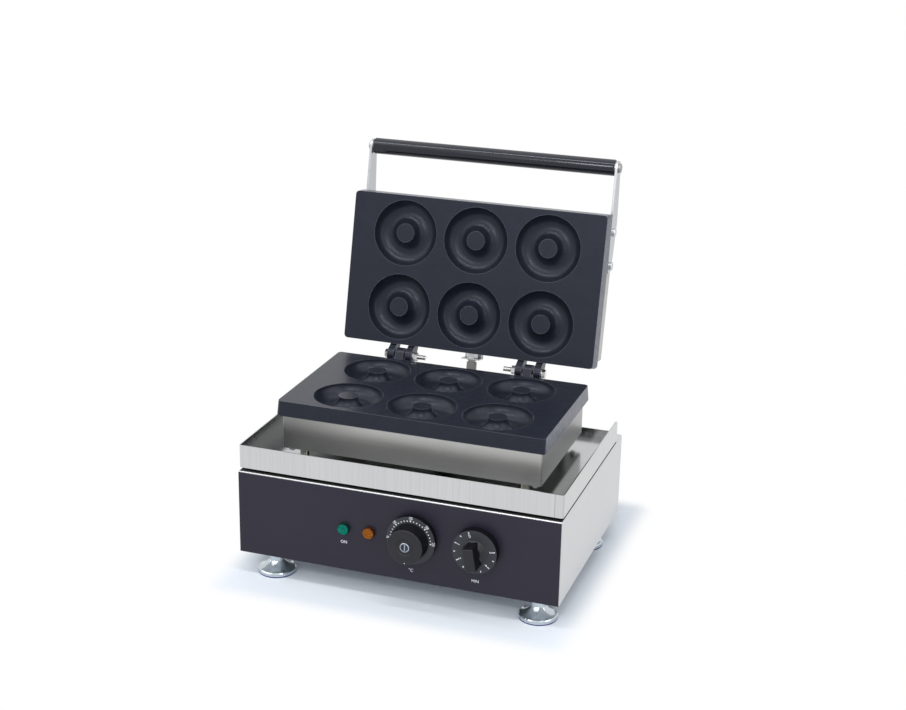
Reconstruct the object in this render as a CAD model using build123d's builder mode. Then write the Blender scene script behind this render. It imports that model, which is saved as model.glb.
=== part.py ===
from build123d import *
from math import cos, radians, sin, tan
import os

# Countertop donut maker: a folded stainless housing carries a drip tray, on which a
# heater box and a cast plate with six ring moulds stand. A second plate and box form
# the lid, hinged at the back and shown open. Origin: on the floor, under the middle
# of the whole appliance. X to the right seen from the front, Y to the back, Z up.

# ----------------------------------------------------------------- driving sizes, mm
# housing
housing_width = 410.0
housing_height = 108.0
foot_height = 30.0
shell_sheet = 1.2
shell_corner = 2.5
vent_slot = (46.0, 4.0)
vent_pitch = 12.0
vent_count = 9
base_slot = (52.0, 4.0)
base_slot_pitch = 11.0
base_slot_count = 8
base_slot_blocks = (150.0, 110.0)
base_flange = 14.0
base_play = 0.3
base_screw_radius = 1.5
base_screw_head_radius = 3.2
base_screw_head_height = 2.0
base_screw_inset = 67.0
panel_sheet = 1.0
panel_margin = 2.0

# drip tray
tray_setback = 4.0
tray_behind = 10.2
tray_gap = 3.0
tray_sheet = 1.2
tray_rim = 29.0
tray_rear_rim = 11.0
tray_corner = 3.0
tray_rim_round = 12.0
spacer_radius = 8.5

# heater boxes and what they hold
standoff_height = 15.0
standoff_radius = 5.5
standoff_inset_x = 23.5
standoff_inset_y = 13.5
box_inset = 6.0
box_depth = 43.5
box_sheet = 1.0
box_corner = 3.0
element_radius = 3.25
element_inset = 20.0
element_bend = 14.0
clamp_sheet = 1.0
seat_gap = 0.1
element_gap = 44.0
element_reach = 18.0
terminal_window = (70.0, 24.0)
sheet_inset = 3.0
pad_inset = 12.0
pad_clearance = 3.0
duct_radius = 14.0
duct_flange = 4.0
duct_overrun = 5.0
duct_wall = 1.5
duct_setback = 40.0

# donut plates
plate_length = 340.0
plate_depth = 194.8
plate_front = 41.1
plate_thickness = 19.0
plate_draft = 1.5
plate_corner = 5.0
mould_pitch_x = 96.6
mould_pitch_y = 97.0
mould_ring_radius = 27.5
mould_groove_radius = 15.5

# hinge
open_angle = 103.0
parting_gap = 0.4
hinge_behind = 13.9
hinge_rise = 1.2
lug_radius = 9.6
lug_middle = (82.0, 93.0)
lug_inner = (70.5, 79.5)
lug_outer = (95.5, 104.5)
lug_root_near = 6.5
lug_root_far = 17.0
lug_root_depth = 3.0
bolt_radius = 3.0
running_gap = 0.06
hinge_bolt_end = 53.5
nut_width = 10.0
nut_height = 5.0
bolt_head_height = 4.0
washer_radius = 6.0
washer_sheet = 1.0

# fasteners
stud_radius = 2.5
stud_bite = 8.0
stud_inset = 9.0
screw_gap = 0.2
slip_gap = 0.1
small_nut_width = 8.0
small_nut_height = 4.0
thread_end = 1.5

# handle
arm_sheet = 3.0
grip_forward = 60.1
grip_rise = 39.4
grip_radius = 10.5
grip_rod_radius = 5.0
grip_edge = 1.2
end_screw_bite = 14.0
end_head_radius = 6.0
end_head_height = 3.0
arm_end_radius = 9.0
arm_swell_back = 6.5
arm_swell_rise = 45.4
arm_swell_radius = 14.5
arm_tail_back = 60.5
arm_tail_rise = 43.4
arm_tail_radius = 10.0
arm_screw_back = 17.5
arm_head_radius = 5.3
arm_head_height = 3.5
head_edge = 1.2
grip_washer_radius = 8.0
grip_washer_sheet = 1.5

# flexible conduit between base and lid
hose_radius = 6.7
hose_out = 31.5
hose_bracket_width = 24.5
hose_bracket_leg = 18.0
hose_bracket_rise = 15.5
hose_bracket_sheet = 1.5
hose_flange = 16.0
hose_collar = 1.1
hose_thread_wall = 1.2
hose_thread_radius = 5.0
hose_thread_below = 4.1
hose_nut_width = 13.0
hose_nut_height = 6.0
hose_bush_radius = 10.5
hose_bush_flange = 3.0
hose_bush_depth = 7.0
hose_bush_play = 0.4
hose_bush_edge = 0.8
hose_hole_radius = 8.2
hose_behind = 26.2
hose_setback = 13.0
hose_tail = 62.0
hose_tail_forward = 10.0
hose_straight = 14.0
cord_share = 0.45

# controls, measured from the panel's centre line and the housing's bottom edge
lamp_height = 55.0
lamp_radius = 7.3
lamp_reach = 5.5
lamp_dome = 1.2
lamp_nut_width = 15.0
lamp_nut_height = 3.0
lamp_body_radius = 5.0
lamp_body_length = 26.0
green_lamp_x = -64.9
amber_lamp_x = -32.4
knob_gap = 0.6
knob_edge = 1.2
dial_skirt_radius = 29.6
dial_rim_radius = 30.4
dial_rim_reach = 9.6
dial_neck_radius = 23.0
dial_neck_reach = 11.2
dial_top_radius = 22.0
dial_reach = 30.0
dial_dish_radius = 10.8
dial_dish_depth = 0.8
dial_cap_radius = 5.9
dial_cap_depth = 3.0
dial_cap_proud = 0.6
dial_slot = (8.4, 1.8)
dial_slot_depth = 0.8
timer_skirt_radius = 27.0
timer_face_radius = 27.6
timer_face_reach = 12.2
timer_hub_radius = 14.8
timer_hub_top_radius = 9.0
timer_hub_reach = 17.0
timer_reach = 33.0
timer_bar_foot_length = 30.0
timer_bar_foot_width = 13.8
timer_bar_length = 28.5
timer_bar_width = 12.8
timer_bar_corner = 2.0
timer_bar_drop = 1.8
timer_bar_turn = 9.5
spindle_radius = 3.0
spindle_hole = 5.5
spindle_bore_depth = 14.0
spindle_reach = 16.0
spindle_end_gap = 0.2
control_corner = 3.0
thermostat_size = (46.0, 38.0)
thermostat_depth = 34.0
timer_size = (60.0, 52.0)
timer_depth = 38.0
thermostat_x = 23.8
thermostat_height = 58.0
timer_x = 103.9
timer_height = 58.0

# wiring and sensing parts inside
terminal_inset = (95.0, 88.0)
terminal_size = (64.0, 22.0)
terminal_body_height = 14.0
terminal_post = 9.0
terminal_post_height = 6.0
terminal_pitch = 12.0
terminal_count = 5
probe_x = 14.0
probe_setback = 14.0
probe_radius = 3.0
probe_length = 70.0
capillary_radius = 0.9
capillary_bend = 8.0
capillary_drop = 25.0

# levelling feet
foot_left_inset = 39.6
foot_right_inset = 30.8
foot_front = 23.0
foot_behind = 53.4
foot_pad_radius = 23.2
foot_pad_height = 1.6
foot_bell_radius = 23.5
foot_rim = 4.6
foot_edge = 1.2
foot_slope_radius = 26.0
foot_neck_radius = 9.5
foot_neck_start = 16.5
foot_stud_radius = 4.0
foot_stud_reach = 26.0
foot_socket_radius = 8.0
foot_socket_height = 15.0
foot_seat_gap = 0.2

# cable gland
gland_inset = 55.0
gland_height = 32.0
gland_bore = 4.0
gland_radius = 10.0
gland_tip_radius = 7.5
gland_thread_radius = 8.0
gland_nut_width = 22.0
gland_nut_height = 6.0
gland_length = 16.0
gland_inside = 10.0

# --------------------------------------------------------------------- worked places
half_width = housing_width / 2
hinge_y = plate_front + plate_depth + hinge_behind
hose_y = hinge_y + hose_behind
housing_depth = hose_y + hose_setback
shell_bottom = foot_height
shell_top = shell_bottom + housing_height
shell_front = panel_sheet
shell_inner_front = shell_front + shell_sheet
shell_back = housing_depth
inner_half_width = half_width - shell_sheet
base_plate_z = shell_bottom
base_plate_top = base_plate_z + shell_sheet
tray_bottom = shell_top + tray_gap
tray_floor = tray_bottom + tray_sheet
tray_back = hinge_y + tray_behind
tray_depth = tray_back - tray_setback
tray_mid_y = tray_setback + tray_depth / 2
box_bottom = tray_floor + standoff_height
hinge_z = box_bottom + box_depth + plate_thickness + parting_gap / 2 + hinge_rise
plate_mid = -(hinge_behind + plate_depth / 2)
box_length = plate_length - 2 * box_inset + 2 * plate_draft
box_width = plate_depth - 2 * box_inset + 2 * plate_draft
box_back = plate_mid + box_width / 2
box_side = box_length / 2
plate_y = hinge_y + plate_mid
standoff_x = box_side - standoff_inset_x
standoff_dy = box_width / 2 - standoff_inset_y
duct_y = plate_y + duct_setback
shell_depth = shell_back - shell_front
shell_mid_y = (shell_front + shell_back) / 2
terminal_place = (terminal_inset[0] - half_width, shell_back - terminal_inset[1])
thermostat_place = (thermostat_x, thermostat_height)
timer_place = (timer_x, timer_height)
green_lamp_place = (green_lamp_x, lamp_height)
amber_lamp_place = (amber_lamp_x, lamp_height)
gland_place = (half_width - gland_inset, gland_height)
foot_back = housing_depth - foot_behind
base_width = 2 * (inner_half_width - base_play)
base_depth = shell_depth - 2 * (shell_sheet + base_play)
base_screw_places = [
    (sx * (inner_half_width - base_flange / 2), y)
    for sx in (-1, 1)
    for y in (shell_front + base_screw_inset, shell_mid_y, shell_back - base_screw_inset)
]
foot_left_x = foot_left_inset - half_width
foot_right_x = half_width - foot_right_inset
foot_places = {
    "front_left": (foot_left_x, foot_front),
    "front_right": (foot_right_x, foot_front),
    "back_left": (foot_left_x, foot_back),
    "back_right": (foot_right_x, foot_back),
}

# One leaf is the plate and box on one side of the hinge. Its plane lies on the hinge
# axis, with local y towards the back of the closed appliance and local z up from it.
lower_leaf = Plane(origin=(0, hinge_y, hinge_z), x_dir=(1, 0, 0), z_dir=(0, 0, 1))
lid_leaf = Plane(
    origin=(0, hinge_y, hinge_z),
    x_dir=(1, 0, 0),
    z_dir=(0, sin(radians(open_angle)), cos(radians(open_angle))),
)
back_face = Plane(origin=(0, shell_back, shell_bottom), x_dir=(-1, 0, 0), z_dir=(0, 1, 0))
DOWN = -1
UP = 1


def level(leaf, grow, depth):
    """Plane parallel to the parting face, at a depth behind it."""
    return leaf.offset(grow * (parting_gap / 2 + depth) - hinge_rise)


def side_plane(leaf, x):
    """Plane square to the hinge axis: local x runs to the back, local y upwards."""
    return Plane(origin=leaf.origin + leaf.x_dir * x, x_dir=leaf.y_dir, z_dir=leaf.x_dir)


def back_plane(leaf, y):
    """Plane facing the back of the leaf, at the leaf's own y."""
    return Plane(origin=leaf.origin + leaf.y_dir * y, x_dir=-leaf.x_dir, z_dir=leaf.y_dir)


def front_plane(y):
    """Upright plane facing the front, with the housing's bottom edge at its foot."""
    return Plane(origin=(0, y, shell_bottom), x_dir=(1, 0, 0), z_dir=(0, -1, 0))


# stud places on a leaf: one pair between the moulds, one in each corner
stud_corner_x = box_side - stud_inset
stud_corner_dy = box_width / 2 - stud_inset
stud_places = [
    (-mould_pitch_x / 2, plate_mid),
    (mould_pitch_x / 2, plate_mid),
    (-stud_corner_x, plate_mid - stud_corner_dy),
    (stud_corner_x, plate_mid - stud_corner_dy),
    (-stud_corner_x, plate_mid + stud_corner_dy),
    (stud_corner_x, plate_mid + stud_corner_dy),
]
standoff_places = [
    (sx * standoff_x, plate_y + sy * standoff_dy) for sx in (-1, 1) for sy in (-1, 1)
]
pieces = {}


# ---------------------------------------------------------------------- housing shell
# Folded and welded box, open below with an inward flange for the base plate.
with BuildPart() as housing_shell:
    with BuildSketch(Plane.XY.offset(shell_bottom)):
        with Locations((0, shell_mid_y)):
            RectangleRounded(housing_width, shell_depth, shell_corner)
    extrude(amount=housing_height)
    fillet(housing_shell.edges().group_by(Axis.Z)[-1], shell_corner)
    with BuildSketch(Plane.XY.offset(shell_bottom)):
        with Locations((0, shell_mid_y)):
            RectangleRounded(
                housing_width - 2 * shell_sheet,
                shell_depth - 2 * shell_sheet,
                shell_corner - shell_sheet,
            )
    extrude(amount=housing_height - shell_sheet, mode=Mode.SUBTRACT)
    # inward flange over the base plate
    with BuildSketch(Plane.XY.offset(base_plate_top)):
        with Locations((0, shell_mid_y)):
            Rectangle(housing_width - shell_sheet, shell_depth - shell_sheet)
            Rectangle(
                housing_width - 2 * base_flange, shell_depth - 2 * base_flange, mode=Mode.SUBTRACT
            )
        with Locations(*base_screw_places):
            Circle(base_screw_radius, mode=Mode.SUBTRACT)
    extrude(amount=shell_sheet)
    # holes in the front for lamps and spindles
    with BuildSketch(front_plane(0)):
        with Locations(green_lamp_place, amber_lamp_place):
            Circle(lamp_body_radius)
        with Locations(thermostat_place, timer_place):
            Circle(spindle_hole)
    extrude(amount=-(shell_inner_front + 1), mode=Mode.SUBTRACT)
    # holes in the top for the standoff bolts, the wire duct and the conduit bush
    with BuildSketch(Plane.XY.offset(shell_top - 2 * shell_sheet)):
        with Locations(*standoff_places):
            Circle(stud_radius + screw_gap)
        with Locations((0, duct_y)):
            Circle(duct_radius)
        with Locations((0, hose_y)):
            Circle(hose_hole_radius)
    extrude(amount=3 * shell_sheet, mode=Mode.SUBTRACT)
    # vent slots and the cable gland's hole in the back wall
    with BuildSketch(back_face.offset(shell_sheet)):
        with Locations((0, housing_height / 2)):
            with GridLocations(vent_pitch, 0, vent_count, 1):
                SlotOverall(*vent_slot, rotation=90)
        with Locations(gland_place):
            Circle(gland_thread_radius)
    extrude(amount=-(3 * shell_sheet), mode=Mode.SUBTRACT)
pieces["housing_shell"] = housing_shell

# ---------------------------------------------------------------------- control panel
with BuildPart() as control_panel:
    with BuildSketch(front_plane(panel_sheet)):
        with Locations((0, (housing_height - panel_margin) / 2)):
            Rectangle(housing_width - panel_margin / 2, housing_height - panel_margin)
        with Locations(green_lamp_place, amber_lamp_place):
            Circle(lamp_body_radius, mode=Mode.SUBTRACT)
        with Locations(thermostat_place, timer_place):
            Circle(spindle_hole, mode=Mode.SUBTRACT)
    extrude(amount=panel_sheet)
pieces["control_panel"] = control_panel

# ------------------------------------------------------------------------- base plate
# Vented sheet that closes the housing from below, screwed up into its flange.
with BuildPart() as base_plate:
    with BuildSketch(Plane.XY.offset(base_plate_z)):
        with Locations((0, shell_mid_y)):
            RectangleRounded(base_width, base_depth, shell_corner)
            with GridLocations(*base_slot_blocks, 2, 2):
                with GridLocations(base_slot_pitch, 0, base_slot_count, 1):
                    SlotOverall(*base_slot, rotation=90, mode=Mode.SUBTRACT)
        with Locations(*foot_places.values()):
            Circle(foot_stud_radius + screw_gap, mode=Mode.SUBTRACT)
        with Locations(*base_screw_places):
            Circle(base_screw_radius + screw_gap, mode=Mode.SUBTRACT)
    extrude(amount=shell_sheet)
pieces["base_plate"] = base_plate

with BuildPart() as base_screws:
    with BuildSketch(Plane.XY.offset(base_plate_z)):
        with Locations(*base_screw_places):
            Circle(base_screw_head_radius)
    extrude(amount=-base_screw_head_height)
    fillet(base_screws.edges().group_by(Axis.Z)[0], base_screw_head_height / 2)
    with BuildSketch(Plane.XY.offset(base_plate_z)):
        with Locations(*base_screw_places):
            Circle(base_screw_radius)
    extrude(amount=3 * shell_sheet)
pieces["base_screws"] = base_screws

# -------------------------------------------------------------------------- drip tray
# Folded tray on four spacers: high rims in front and at the sides, a low one behind.
with BuildPart() as drip_tray:
    with BuildSketch(Plane.XY.offset(tray_bottom)):
        with Locations((0, tray_mid_y)):
            RectangleRounded(housing_width, tray_depth, tray_corner)
    extrude(amount=tray_rim)
    with BuildSketch(Plane.XY.offset(tray_floor)):
        with Locations((0, tray_mid_y)):
            RectangleRounded(
                housing_width - 2 * tray_sheet, tray_depth - 2 * tray_sheet, tray_corner - tray_sheet
            )
    extrude(amount=tray_rim, mode=Mode.SUBTRACT)
    # the rear rim is cut down between the side rims
    with BuildSketch(Plane.XY.offset(tray_bottom + tray_rear_rim)):
        with Locations((0, tray_back)):
            Rectangle(housing_width - 2 * tray_sheet, 2 * tray_corner)
    extrude(amount=tray_rim, mode=Mode.SUBTRACT)
    # the side rims end in a rounded corner at the back
    with BuildSketch(Plane.YZ.offset(-half_width)) as rim_outline:
        with Locations((tray_mid_y, tray_bottom + tray_rim / 2)):
            Rectangle(tray_depth, tray_rim)
        fillet(rim_outline.vertices().group_by(Axis.Y)[-1].sort_by(Axis.X)[-1], tray_rim_round)
    extrude(amount=housing_width, mode=Mode.INTERSECT)
    with BuildSketch(Plane.XY.offset(tray_bottom)):
        with Locations(*standoff_places):
            Circle(stud_radius + screw_gap)
        with Locations((0, duct_y)):
            Circle(duct_radius)
    extrude(amount=tray_sheet, mode=Mode.SUBTRACT)
pieces["drip_tray"] = drip_tray

with BuildPart() as tray_spacers:
    with BuildSketch(Plane.XY.offset(shell_top)):
        with Locations(*standoff_places):
            Circle(spacer_radius)
            Circle(stud_radius + screw_gap, mode=Mode.SUBTRACT)
    extrude(amount=tray_gap)
pieces["tray_spacers"] = tray_spacers

with BuildPart() as box_standoffs:
    with BuildSketch(Plane.XY.offset(tray_floor)):
        with Locations(*standoff_places):
            Circle(standoff_radius)
            Circle(stud_radius + screw_gap, mode=Mode.SUBTRACT)
    extrude(amount=standoff_height)
pieces["box_standoffs"] = box_standoffs

# bolts from inside the housing up into the heater box
with BuildPart() as standoff_bolts:
    with BuildSketch(Plane.XY.offset(shell_top - shell_sheet)):
        with Locations(*standoff_places):
            RegularPolygon(small_nut_width / 2, 6, major_radius=False)
    extrude(amount=-small_nut_height)
    with BuildSketch(Plane.XY.offset(shell_top - shell_sheet)):
        with Locations(*standoff_places):
            Circle(stud_radius)
    bolt_top = box_bottom + box_sheet + small_nut_height + thread_end
    extrude(amount=bolt_top - shell_top + shell_sheet)
pieces["standoff_bolts"] = standoff_bolts

# sleeve that leads the wires from the housing through the tray into the heater box
with BuildPart() as wire_duct:
    duct_bottom = shell_top - shell_sheet - duct_overrun
    duct_top = box_bottom + box_sheet + duct_overrun
    with BuildSketch(Plane.XY.offset(duct_bottom)):
        with Locations((0, duct_y)):
            Circle(duct_radius - slip_gap)
            Circle(duct_radius - duct_wall, mode=Mode.SUBTRACT)
    extrude(amount=duct_top - duct_bottom)
    with BuildSketch(Plane.XY.offset(shell_top)):
        with Locations((0, duct_y)):
            Circle(duct_radius + duct_flange)
            Circle(duct_radius - duct_wall, mode=Mode.SUBTRACT)
    extrude(amount=tray_gap)
pieces["wire_duct"] = wire_duct


# ---------------------------------------------------------------- plates with moulds
def donut_plate(leaf, grow, lug_spans):
    """Cast plate with six half-round ring moulds and hinge lugs on its back edge."""
    face = level(leaf, grow, 0)
    back = level(leaf, grow, plate_thickness)
    with BuildPart() as plate:
        with BuildSketch(face):
            with Locations((0, plate_mid)):
                RectangleRounded(plate_length, plate_depth, plate_corner)
        with BuildSketch(back):
            with Locations((0, plate_mid)):
                RectangleRounded(
                    plate_length + 2 * plate_draft, plate_depth + 2 * plate_draft, plate_corner
                )
        loft()
        # hinge lugs: a hub on the axis, webbed into the plate's back edge
        for low, high in lug_spans:
            for side in (low, -high):
                with BuildSketch(side_plane(leaf, side)):
                    Circle(lug_radius)
                    near = grow * (parting_gap / 2 + lug_root_near) - hinge_rise
                    far = grow * (parting_gap / 2 + lug_root_far) - hinge_rise
                    with Locations((-hinge_behind - lug_root_depth / 2, (near + far) / 2)):
                        Rectangle(lug_root_depth, abs(far - near))
                    make_hull()
                extrude(amount=high - low)
        with BuildSketch(side_plane(leaf, -plate_length / 2)):
            Circle(bolt_radius + running_gap)
        extrude(amount=plate_length, mode=Mode.SUBTRACT)
        # ring moulds, open at the parting face
        with Locations(face):
            with Locations((0, plate_mid)):
                with GridLocations(mould_pitch_x, mould_pitch_y, 3, 2):
                    Torus(mould_ring_radius, mould_groove_radius, mode=Mode.SUBTRACT)
        # blind holes for the studs
        with BuildSketch(back):
            with Locations(*stud_places):
                Circle(stud_radius)
        extrude(amount=-grow * stud_bite, mode=Mode.SUBTRACT)
    return plate


lower_plate = donut_plate(lower_leaf, DOWN, [lug_middle])
pieces["lower_plate"] = lower_plate
upper_plate = donut_plate(lid_leaf, UP, [lug_inner, lug_outer])
pieces["upper_plate"] = upper_plate


# ------------------------------------------------- what each heater box has inside it
def heating_element(leaf, grow):
    """Tubular element bent round under the moulds, its two ends turned away."""
    centre = level(leaf, grow, plate_thickness + seat_gap + element_radius)
    half_x = box_side - element_inset
    half_y = box_width / 2 - element_inset
    end_x = element_gap / 2
    reach = element_reach
    places = [
        (-end_x, half_y, grow * reach),
        (-end_x, half_y, 0),
        (-half_x, half_y, 0),
        (-half_x, -half_y, 0),
        (half_x, -half_y, 0),
        (half_x, half_y, 0),
        (end_x, half_y, 0),
        (end_x, half_y, grow * reach),
    ]
    route = [centre.from_local_coords((x, y + plate_mid, z)) for x, y, z in places]
    with BuildPart() as element:
        with BuildLine() as path:
            FilletPolyline(*route, radius=element_bend)
        start = path.wires()[0]
        with BuildSketch(Plane(origin=start @ 0, z_dir=start % 0)):
            Circle(element_radius)
        sweep(path=start)
    return element


def inner_sheet(leaf, grow, near, far, inset):
    """Flat layer in a box, cut out for the studs, the element's ends and the wire duct."""
    with BuildPart() as layer:
        with BuildSketch(level(leaf, grow, near)):
            with Locations((0, plate_mid)):
                Rectangle(box_length - 2 * inset, box_width - 2 * inset)
            with Locations(*stud_places):
                Circle(stud_radius + screw_gap, mode=Mode.SUBTRACT)
            with Locations((0, plate_mid + box_width / 2 - element_inset)):
                Rectangle(*terminal_window, mode=Mode.SUBTRACT)
            if grow == DOWN:
                with Locations((0, plate_mid + duct_setback)):
                    Circle(duct_radius, mode=Mode.SUBTRACT)
        extrude(amount=grow * (far - near))
    return layer


def plate_studs(leaf, grow):
    """Studs from the cast plate through the far wall of its box."""
    with BuildPart() as studs:
        with BuildSketch(level(leaf, grow, plate_thickness - stud_bite)):
            with Locations(*stud_places):
                Circle(stud_radius)
        extrude(amount=grow * (stud_bite + box_depth + small_nut_height + thread_end))
    return studs


def nuts(plane, places, width, height, bore):
    """Hexagon nuts that sit on a plane, at places given in it."""
    with BuildPart() as group:
        with BuildSketch(plane):
            with Locations(*places):
                RegularPolygon(width / 2, 6, major_radius=False)
                Circle(bore, mode=Mode.SUBTRACT)
        extrude(amount=height)
    return group.part


def heater_box(leaf, grow):
    """Folded box, open towards the plate that closes it."""
    with BuildPart() as box:
        with BuildSketch(level(leaf, grow, plate_thickness)):
            with Locations((0, plate_mid)):
                RectangleRounded(box_length, box_width, box_corner)
        extrude(amount=grow * box_depth)
        with BuildSketch(level(leaf, grow, plate_thickness)):
            with Locations((0, plate_mid)):
                RectangleRounded(
                    box_length - 2 * box_sheet, box_width - 2 * box_sheet, box_corner - box_sheet
                )
        extrude(amount=grow * (box_depth - box_sheet), mode=Mode.SUBTRACT)
        with BuildSketch(level(leaf, grow, plate_thickness + box_depth)):
            with Locations(*stud_places):
                Circle(stud_radius + screw_gap)
        extrude(amount=-grow * box_sheet, mode=Mode.SUBTRACT)
    return box.part


# depths of the layers behind the parting face
clamp_near = plate_thickness + 2 * seat_gap + 2 * element_radius
clamp_far = clamp_near + clamp_sheet
pad_near = clamp_far + seat_gap
pad_far = plate_thickness + box_depth - box_sheet - small_nut_height - pad_clearance
for side_name, leaf, grow in (("lower", lower_leaf, DOWN), ("upper", lid_leaf, UP)):
    pieces[side_name + "_heating_element"] = heating_element(leaf, grow)
    pieces[side_name + "_element_clamp"] = inner_sheet(leaf, grow, clamp_near, clamp_far, sheet_inset)
    pieces[side_name + "_insulation"] = inner_sheet(leaf, grow, pad_near, pad_far, pad_inset)
    pieces[side_name + "_plate_studs"] = plate_studs(leaf, grow)

with BuildPart() as lower_heater_box:
    add(heater_box(lower_leaf, DOWN))
    with BuildSketch(Plane.XY.offset(box_bottom)):
        with Locations(*standoff_places):
            Circle(stud_radius + screw_gap)
        with Locations((0, duct_y)):
            Circle(duct_radius)
    extrude(amount=box_sheet, mode=Mode.SUBTRACT)
pieces["lower_heater_box"] = lower_heater_box

# nuts under the box on the plate's studs, and inside it on the standoff bolts
with BuildPart() as lower_box_nuts:
    under_box = level(lower_leaf, DOWN, plate_thickness + box_depth)
    add(nuts(under_box, stud_places, small_nut_width, -small_nut_height, stud_radius))
    in_box = Plane.XY.offset(box_bottom + box_sheet)
    add(nuts(in_box, standoff_places, small_nut_width, small_nut_height, stud_radius))
pieces["lower_box_nuts"] = lower_box_nuts

# --------------------------------------------------------------------- handle and arms
grip_y = -(hinge_behind + plate_depth + grip_forward)
box_front = plate_mid - box_width / 2
arm_swell = (box_front + arm_swell_back, arm_swell_rise)
arm_tail = (box_front + arm_tail_back, arm_tail_rise)
arm_screw_places = [(box_front + arm_screw_back, arm_tail_rise), arm_tail]
arm_outside = box_side + arm_sheet

with BuildPart() as upper_heater_box:
    add(heater_box(lid_leaf, UP))
    with BuildSketch(side_plane(lid_leaf, -box_side)):
        with Locations(*arm_screw_places):
            Circle(stud_radius + screw_gap)
    extrude(amount=2 * box_side, mode=Mode.SUBTRACT)
    with BuildSketch(back_plane(lid_leaf, box_back)):
        with Locations((0, hose_out)):
            Circle(hose_thread_radius + screw_gap)
    extrude(amount=-2 * box_sheet, mode=Mode.SUBTRACT)
pieces["upper_heater_box"] = upper_heater_box

for side_name, inner_x in (("left", -arm_outside), ("right", box_side)):
    with BuildPart() as handle_arm:
        with BuildSketch(side_plane(lid_leaf, inner_x)):
            with Locations((grip_y, grip_rise)):
                Circle(arm_end_radius)
            with Locations(arm_swell):
                Circle(arm_swell_radius)
            with Locations(arm_tail):
                Circle(arm_tail_radius)
            make_hull()
            with Locations(*arm_screw_places):
                Circle(stud_radius + screw_gap, mode=Mode.SUBTRACT)
            with Locations((grip_y, grip_rise)):
                Circle(bolt_radius + screw_gap, mode=Mode.SUBTRACT)
        extrude(amount=arm_sheet)
    pieces[side_name + "_handle_arm"] = handle_arm

grip_half = box_side - grip_washer_sheet
with BuildPart() as handle_grip:
    with BuildSketch(side_plane(lid_leaf, -grip_half)):
        with Locations((grip_y, grip_rise)):
            Circle(grip_radius)
    extrude(amount=2 * grip_half)
    fillet(handle_grip.edges(), grip_edge)
    with BuildSketch(side_plane(lid_leaf, -grip_half)):
        with Locations((grip_y, grip_rise)):
            Circle(grip_rod_radius)
    extrude(amount=2 * grip_half, mode=Mode.SUBTRACT)
pieces["handle_grip"] = handle_grip

with BuildPart() as handle_rod:
    with BuildSketch(side_plane(lid_leaf, -box_side)):
        with Locations((grip_y, grip_rise)):
            Circle(grip_rod_radius)
    extrude(amount=2 * box_side)
    for start, length in ((-box_side, end_screw_bite), (box_side, -end_screw_bite)):
        with BuildSketch(side_plane(lid_leaf, start)):
            with Locations((grip_y, grip_rise)):
                Circle(bolt_radius)
        extrude(amount=length, mode=Mode.SUBTRACT)
pieces["handle_rod"] = handle_rod

with BuildPart() as grip_washers:
    for start in (-box_side, grip_half):
        with BuildSketch(side_plane(lid_leaf, start)):
            with Locations((grip_y, grip_rise)):
                Circle(grip_washer_radius)
                Circle(grip_rod_radius, mode=Mode.SUBTRACT)
        extrude(amount=grip_washer_sheet)
pieces["grip_washers"] = grip_washers


def pan_screws(places, shank_radius, shank_length, head_radius, head_height, edge):
    """Screws with domed heads outside both arms, their shanks pointing inwards."""
    with BuildPart() as screws:
        for start, outward in ((-arm_outside, -1), (arm_outside, 1)):
            with BuildSketch(side_plane(lid_leaf, start)):
                with Locations(*places):
                    Circle(head_radius)
            extrude(amount=outward * head_height)
        by_side = screws.edges().group_by(Axis.X)
        fillet(by_side[0] + by_side[-1], edge)
        for start, outward in ((-arm_outside, -1), (arm_outside, 1)):
            with BuildSketch(side_plane(lid_leaf, start)):
                with Locations(*places):
                    Circle(shank_radius)
            extrude(amount=-outward * shank_length)
    return screws


pieces["handle_end_screws"] = pan_screws(
    [(grip_y, grip_rise)],
    bolt_radius,
    arm_sheet + end_screw_bite,
    end_head_radius,
    end_head_height,
    head_edge,
)
pieces["arm_screws"] = pan_screws(
    arm_screw_places,
    stud_radius,
    arm_sheet + box_sheet + small_nut_height + thread_end,
    arm_head_radius,
    arm_head_height,
    head_edge,
)

# nuts on the plate's studs, outside the box, and inside it on the arm screws
with BuildPart() as upper_box_nuts:
    over_box = level(lid_leaf, UP, plate_thickness + box_depth)
    add(nuts(over_box, stud_places, small_nut_width, small_nut_height, stud_radius))
    for inward in (-1, 1):
        wall = side_plane(lid_leaf, inward * (box_sheet - box_side))
        height = inward * small_nut_height
        add(nuts(wall, arm_screw_places, small_nut_width, height, stud_radius))
pieces["upper_box_nuts"] = upper_box_nuts

# ------------------------------------------------------------------------ hinge bolts
# One bolt on each side: it clamps the lid's two lugs and turns in the lower plate's.
bolt_head_seat = lug_outer[1] + washer_sheet
bolt_nut_seat = lug_inner[0] - washer_sheet


def across_hinge(low, high):
    """The same span on both sides of the middle, as start places and lengths."""
    return ((low, high - low), (-high, high - low))


with BuildPart() as hinge_bolts:
    for start, length in across_hinge(bolt_head_seat, bolt_head_seat + bolt_head_height):
        with BuildSketch(side_plane(lid_leaf, start)):
            RegularPolygon(nut_width / 2, 6, major_radius=False)
        extrude(amount=length)
    for start, length in across_hinge(hinge_bolt_end, bolt_head_seat):
        with BuildSketch(side_plane(lid_leaf, start)):
            Circle(bolt_radius)
        extrude(amount=length)
pieces["hinge_bolts"] = hinge_bolts

with BuildPart() as hinge_washers:
    for low in (lug_outer[1], bolt_nut_seat):
        for start, length in across_hinge(low, low + washer_sheet):
            with BuildSketch(side_plane(lid_leaf, start)):
                Circle(washer_radius)
                Circle(bolt_radius, mode=Mode.SUBTRACT)
            extrude(amount=length)
pieces["hinge_washers"] = hinge_washers

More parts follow.
